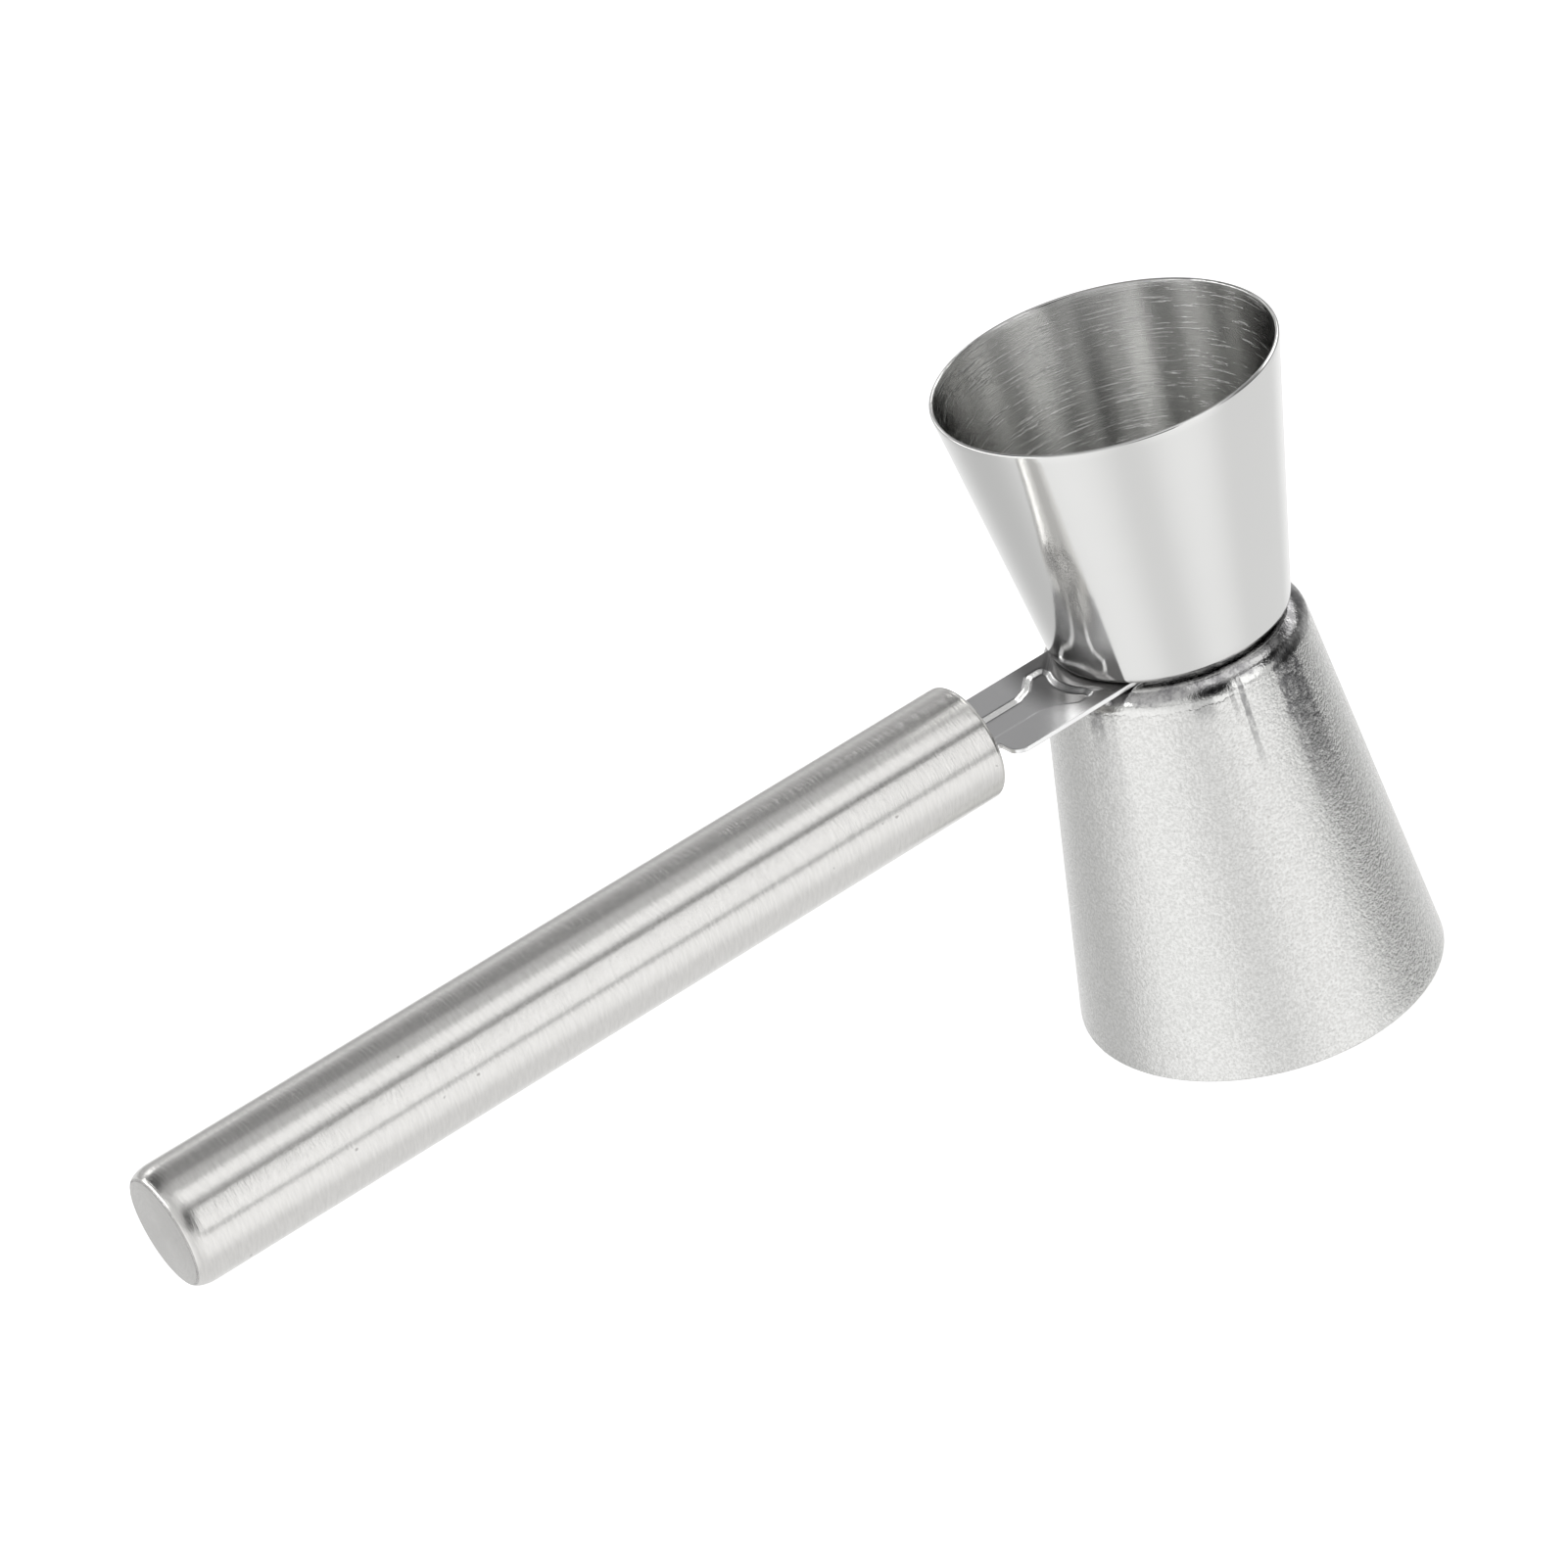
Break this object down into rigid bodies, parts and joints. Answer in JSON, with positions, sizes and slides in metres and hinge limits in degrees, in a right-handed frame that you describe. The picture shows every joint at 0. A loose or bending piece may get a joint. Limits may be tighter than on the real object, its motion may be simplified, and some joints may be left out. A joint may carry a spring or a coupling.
{
  "type": "bar jigger",
  "caption": "Double-ended bar jigger: small and large conical steel cups joined base to base, with a round tubular side handle on a thin neck plate.",
  "frame": {"origin": "centre of the large cup's rim, in the plane of the rim", "axes": "+Z along the axis of both cups, from the large cup's rim to the small cup's rim; the handle points along -X, square to the cups"},
  "size_m": [0.1618, 0.0446, 0.0841],
  "materials": {
    "polished_steel": "polished stainless steel, finely brushed round the inside",
    "blasted_steel": "fine satin stainless steel, polished bend at the closed end",
    "plate_steel": "smooth rolled stainless sheet",
    "brushed_steel": "stainless steel brushed round the tube",
    "weld_steel": "ground weld metal"
  },
  "bodies": {
    "root": {"small_cup": "polished_steel", "large_cup": "blasted_steel", "neck_plate": "plate_steel", "waist_weld_nuggets": "weld_steel", "handle_tube": "brushed_steel", "front_cap": "brushed_steel", "rear_cap": "brushed_steel", "front_cap_weld": "weld_steel", "rear_cap_weld": "weld_steel", "tang_weld_beads": "weld_steel"}
  },
  "joints": []
}
